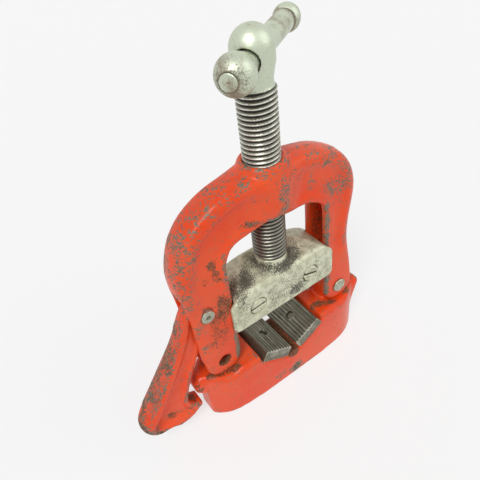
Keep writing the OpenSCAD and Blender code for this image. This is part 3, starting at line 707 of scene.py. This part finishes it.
class VISE_OT_pins(Operator):
    """Riveted pins of the hinge and the latch, and the hidden swivel pins"""

    bl_idname = "vise.pins"
    bl_label = "Pins"

    def execute(self, context):
        steel = handled_steel("pin_steel", context.scene.vise_metal, film=1.15)
        grid = context.scene.vise_shape.fine_grid
        head, dimple = (53, -12, 58), (-58, -11.5, 107)
        dull = {"hinge_pin": [(head, head, 11, 0.35)],
                "latch_pin": [(dimple, dimple, 2.6, 1.2), (dimple, dimple, 10, 0.5)]}
        for node, body in (("hinge_pin", "yoke_body"), ("latch_pin", "yoke_body"),
                           ("swivel_pin_left", "holder_body"), ("swivel_pin_right", "holder_body")):
            rounded_piece(node + "_rivet", solid_copy(node), 0.8 * grid, 2, steel, body, [node],
                          near=6, wide=24, stain_and_shade_marks=dull.get(node, ()))
        return {"FINISHED"}


class VISE_OT_clamp_screw(Operator):
    """Threaded screw with its rounded head"""

    bl_idname = "vise.clamp_screw"
    bl_label = "Clamp screw"

    def thread(self, shape, root):
        """Profile from one crest to the next, wound up the screw."""
        pitch, crest = shape.pitch, shape.thread_crest
        bm = bmesh.new()
        outline = [(0, 0), (0.07, 0.0), (0.14, 0.1), (0.36, 0.86), (0.44, 1), (0.56, 1), (0.64, 0.86),
                   (0.86, 0.1), (0.93, 0.0), (1, 0)]
        base = shape.thread_bottom - pitch
        chain = [bm.verts.new((crest - (crest - root) * deep, 0, base + share * pitch)) for share, deep in outline]
        links = [bm.edges.new(pair) for pair in zip(chain, chain[1:])]
        turns = math.ceil((shape.thread_top - shape.thread_bottom) / pitch) + 1
        steps = shape.turn_steps * turns
        bmesh.ops.spin(bm, geom=chain + links, cent=(0, 0, 0), axis=(0, 0, 1), dvec=(0, 0, pitch * turns / steps),
                       angle=2 * math.pi * turns, steps=steps)
        bmesh.ops.remove_doubles(bm, verts=bm.verts, dist=0.005 * MM)
        cut_above(bm, shape.thread_bottom, -1)
        cut_above(bm, shape.thread_top, 1)
        bmesh.ops.recalc_face_normals(bm, faces=bm.faces)
        return bm

    def execute(self, context):
        shape = context.scene.vise_shape
        metal = context.scene.vise_metal
        root = shape.thread_crest - shape.thread_depth
        mesh = bpy.data.meshes.new("screw_thread")
        wound = self.thread(shape, root)
        wound.to_mesh(mesh)
        wound.free()
        settle(bpy.data.objects.new("screw_thread", mesh), threaded_steel(metal, root, shape.thread_crest),
               "screw_body", ["screw"])
        steel = handled_steel("head_steel", metal, film=0.6)
        ball, knob = middle("handle_ball"), middle("handle_knob")
        along = (knob - ball).normalized()
        low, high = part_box("handle_bar")
        centre = Vector((0, 0, ball.z))
        hole = rod((high.z - low.z) / 2 + shape.seam, 60 * MM, along, centre)
        rims = [(tuple(centre / MM + along * s * 9), tuple(centre / MM + along * s * 14), 9, 0.9) for s in (-1, 1)]
        for name, plane, keep, cutters, stain_and_shade_marks in (("screw_head", shape.thread_top, -1, [hole], rims),
                                                    ("screw_spigot", shape.thread_bottom, 1, (), ())):
            part = solid_copy("screw")
            cut_above(part, plane, keep)
            rounded_piece(name, part, shape.fine_grid, 2, steel, "screw_body", ["screw"], cutters,
                          near=8, wide=40, stain_and_shade_marks=stain_and_shade_marks)
        return {"FINISHED"}


class VISE_OT_handle(Operator):
    """Sliding bar with its ball and knob"""

    bl_idname = "vise.handle"
    bl_label = "Handle"

    def execute(self, context):
        shape = context.scene.vise_shape
        steel = handled_steel("handle_steel", context.scene.vise_metal, film=1.0)
        ball, knob = middle("handle_ball"), middle("handle_knob")
        low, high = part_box("handle_ball")
        along = (ball - knob).normalized()
        rivet = tuple((ball + along * (high.z - low.z) / 2) / MM)
        join = tuple(knob / MM + along * 5)
        ring = (join, join, 8.4, 2.4)
        marks = {"handle_bar": [ring, (rivet, rivet, 1.6, 1.0)],
                 "handle_ball": [(rivet, rivet, 9, 1.2), (rivet, rivet, 16, 0.55)],
                 "handle_knob": [ring]}
        for node, stain_and_shade_marks in marks.items():
            rounded_piece(node + "_steel", solid_copy(node), shape.fine_grid, 2, steel, "handle_body", [node],
                          near=8, wide=40, stain_and_shade_marks=stain_and_shade_marks)
        return {"FINISHED"}


SENSOR_WIDTH = 36.0
FOCAL_SHARE = 459.7 / 480  # focal length against the picture's width
CAMERA_TURN = (-30.12, 40.80, -8.28)  # azimuth, elevation and roll in degrees
CAMERA_PLACE = Vector((-127.56, -182.91, 323.72)) * MM
KEY_FROM, KEY_SPREAD = (-0.55, -0.42, 0.95), 22
FILL_FROM, FILL_SPREAD = (0.75, -0.60, 0.60), 50
FLOOR_HALF = 6.0


class VISE_OT_stage(Operator):
    """Pale floor, soft light and the camera"""

    bl_idname = "vise.stage"
    bl_label = "Stage"

    def lamp(self, name, place, spread, strength):
        """Wide, even light from a direction."""
        light = bpy.data.lights.new(name, "SUN")
        light.angle, light.energy = math.radians(spread), strength
        lamp = bpy.data.objects.new(name, light)
        lamp.rotation_euler = (-Vector(place)).to_track_quat("-Z", "Y").to_euler()
        bpy.context.scene.collection.objects.link(lamp)

    def floor(self, stage):
        bm = bmesh.new()
        bmesh.ops.create_grid(bm, x_segments=8, y_segments=8, size=FLOOR_HALF)
        mesh = bpy.data.meshes.new("floor")
        bm.to_mesh(mesh)
        bm.free()
        f = Finish(bpy.data.materials.new("floor_card"))
        rough = 0.65 + (f.noise(50 * MM) - 0.5) * 0.1
        card = f.principled(Base_Color=stage.floor, Roughness=rough, Specular_IOR_Level=0.2)
        plain = f.node("Emission", None, {"Color": stage.backdrop, "Strength": 1.0})
        shade = f.in_sight() * stage.even
        mesh.materials.append(f.done(f.node("MixShader", None, {0: shade, 1: card.outputs[0], 2: plain.outputs[0]})))
        floor = bpy.data.objects.new("floor", mesh)
        bpy.context.scene.collection.objects.link(floor)

    def surround(self, stage):
        f = Finish(bpy.data.worlds.new("surround"))
        shown = f.node("Background", None, {"Color": stage.backdrop, "Strength": 1.0})
        lit = f.node("Background", None, {"Color": (1, 1, 1, 1), "Strength": stage.ambient})
        both = f.node("MixShader", None, {0: f.in_sight(), 1: lit.outputs[0], 2: shown.outputs[0]})
        return f.done(both, "OutputWorld")

    def camera(self):
        camera = bpy.data.cameras.new("camera")
        camera.sensor_width = SENSOR_WIDTH
        camera.lens = SENSOR_WIDTH * FOCAL_SHARE
        camera.clip_start = 10 * MM
        view = bpy.data.objects.new("camera", camera)
        azimuth, elevation, roll = (math.radians(a) for a in CAMERA_TURN)
        right = Vector((math.cos(azimuth), math.sin(azimuth), 0))
        back = Vector((math.sin(azimuth) * math.cos(elevation), -math.cos(azimuth) * math.cos(elevation),
                       math.sin(elevation)))
        up = back.cross(right)
        across = right * math.cos(roll) + up * math.sin(roll)
        above = up * math.cos(roll) - right * math.sin(roll)
        turned = Matrix((across, above, back)).transposed().to_4x4()
        view.matrix_world = Matrix.Translation(CAMERA_PLACE) @ turned
        return view

    def execute(self, context):
        scene = context.scene
        stage = scene.vise_stage
        self.floor(stage)
        scene.world = self.surround(stage)
        self.lamp("key", KEY_FROM, KEY_SPREAD, stage.key)
        self.lamp("fill", FILL_FROM, FILL_SPREAD, stage.fill)
        scene.camera = self.camera()
        scene.collection.objects.link(scene.camera)
        scene.view_settings.view_transform = "Standard"
        return {"FINISHED"}


class VISE_PT_sidebar(Panel):
    """Buttons and settings of the vise"""

    bl_idname = "VISE_PT_sidebar"
    bl_label = "Yoke pipe vise"
    bl_space_type = "VIEW_3D"
    bl_region_type = "UI"
    bl_category = "Vise"

    def draw(self, context):
        for operator in OPERATORS:
            self.layout.operator(operator.bl_idname)
        for name, group in GROUPS:
            for setting in group.__annotations__:
                self.layout.prop(getattr(context.scene, name), setting)


GROUPS = (
    ("vise_paint", VisePaintSettings),
    ("vise_metal", ViseMetalSettings),
    ("vise_shape", ViseShapeSettings),
    ("vise_stage", ViseStageSettings),
)
OPERATORS = (VISE_OT_stage, VISE_OT_red_castings, VISE_OT_jaw_holder, VISE_OT_jaws, VISE_OT_pins,
             VISE_OT_clamp_screw, VISE_OT_handle)


def register():
    for name, group in GROUPS:
        bpy.utils.register_class(group)
        setattr(bpy.types.Scene, name, PointerProperty(type=group))
    for made in (*OPERATORS, VISE_PT_sidebar):
        bpy.utils.register_class(made)


def unregister():
    for made in reversed((*OPERATORS, VISE_PT_sidebar)):
        bpy.utils.unregister_class(made)
    for name, group in reversed(GROUPS):
        delattr(bpy.types.Scene, name)
        bpy.utils.unregister_class(group)


def main():
    register()
    bpy.ops.vise.stage()
    bpy.ops.vise.red_castings()
    bpy.ops.vise.jaw_holder()
    bpy.ops.vise.jaws()
    bpy.ops.vise.pins()
    bpy.ops.vise.clamp_screw()
    bpy.ops.vise.handle()


if __name__ == "__main__":
    main()
